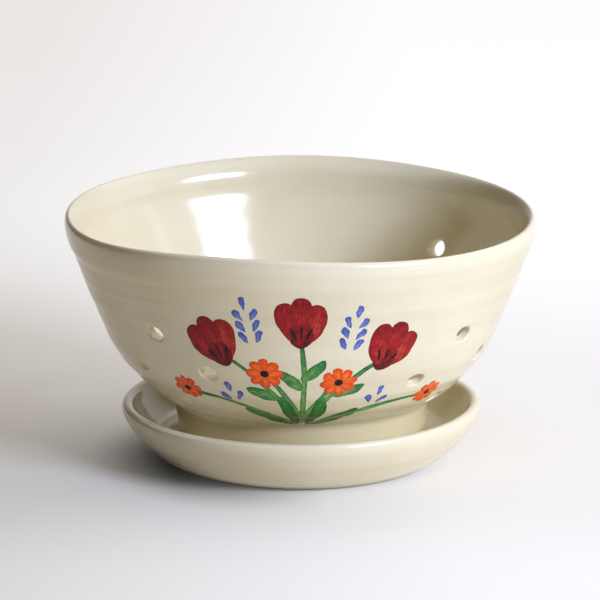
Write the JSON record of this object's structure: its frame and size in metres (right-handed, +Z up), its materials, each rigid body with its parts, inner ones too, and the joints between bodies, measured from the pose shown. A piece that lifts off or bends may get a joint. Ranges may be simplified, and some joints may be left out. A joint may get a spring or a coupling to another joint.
{
  "type": "berry colander bowl",
  "caption": "Thrown stoneware berry bowl with patches of drain holes and a painted flower spray, standing on a loose drip saucer.",
  "frame": {"origin": "on the table, under the centre of the saucer's foot ring", "axes": "+Z up along the pots' common axis; the painted front faces -Y, and +X is to the viewer's right"},
  "size_m": [0.19, 0.19, 0.1018],
  "materials": {
    "glazed_stoneware": "glossy cream glaze over thrown stoneware",
    "green_underglaze": "brushed underglaze under a clear gloss glaze",
    "blue_underglaze": "brushed underglaze under a clear gloss glaze",
    "red_underglaze": "brushed underglaze under a clear gloss glaze",
    "orange_underglaze": "brushed underglaze under a clear gloss glaze",
    "black_underglaze": "brushed underglaze under a clear gloss glaze"
  },
  "bodies": {
    "saucer": {"saucer": "glazed_stoneware"},
    "bowl": {"colander_bowl": "glazed_stoneware", "painted_leaves": "green_underglaze", "painted_sprigs": "blue_underglaze", "painted_tulips": "red_underglaze", "painted_daisies": "orange_underglaze", "painted_centres": "black_underglaze"}
  },
  "joints": [
    {"name": "bowl_lift", "type": "slide", "parent": "saucer", "child": "bowl", "axis": [0, 0, 1], "range_m": [0, 0.12]}
  ]
}
